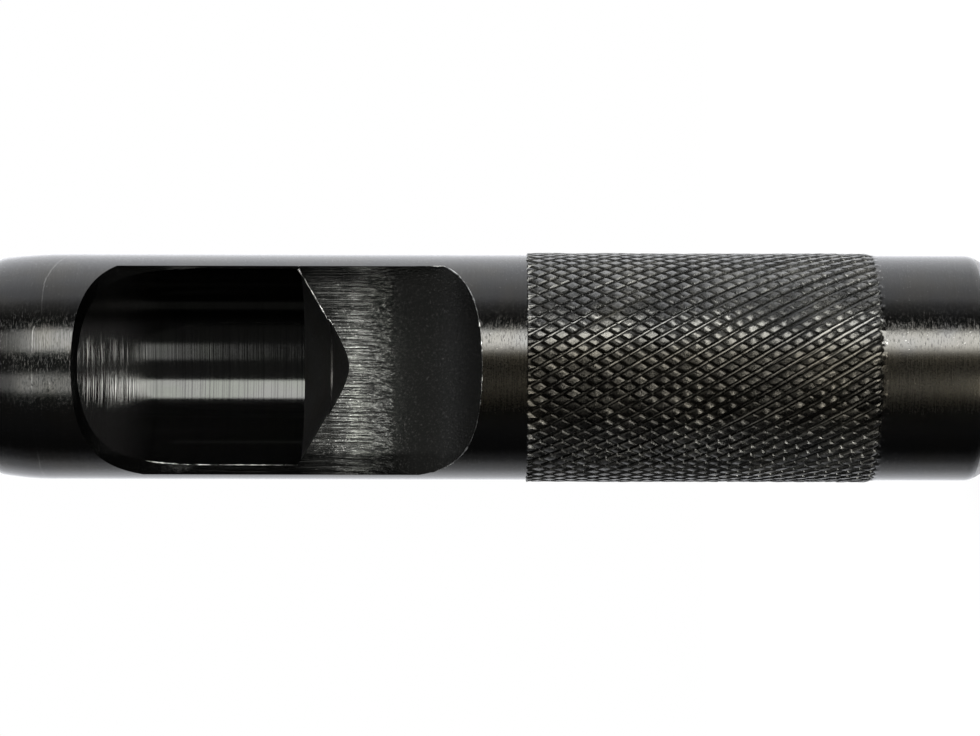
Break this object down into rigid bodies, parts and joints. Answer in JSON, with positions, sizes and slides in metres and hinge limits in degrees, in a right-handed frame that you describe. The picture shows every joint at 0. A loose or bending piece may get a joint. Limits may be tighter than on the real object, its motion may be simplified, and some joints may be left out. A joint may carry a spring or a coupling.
{
  "type": "hollow punch",
  "caption": "Round hollow punch of one blackened steel bar, with a bevelled tubular cutting edge, a side window for the slugs and a diamond-knurled grip.",
  "frame": {"origin": "centre of the flat strike face, on which the tool stands", "axes": "+Z along the tool's axis towards the cutting edge; -Y out of the slug window; +X across the window"},
  "size_m": [0.0244, 0.0244, 0.1072],
  "materials": {
    "blackened_steel": "black oxide over turned, milled and knurled tool steel, satin, with bare metal where the knurl's points, the burrs and the struck chamfer are worn"
  },
  "bodies": {
    "root": {"punch_body": "blackened_steel"}
  },
  "joints": []
}
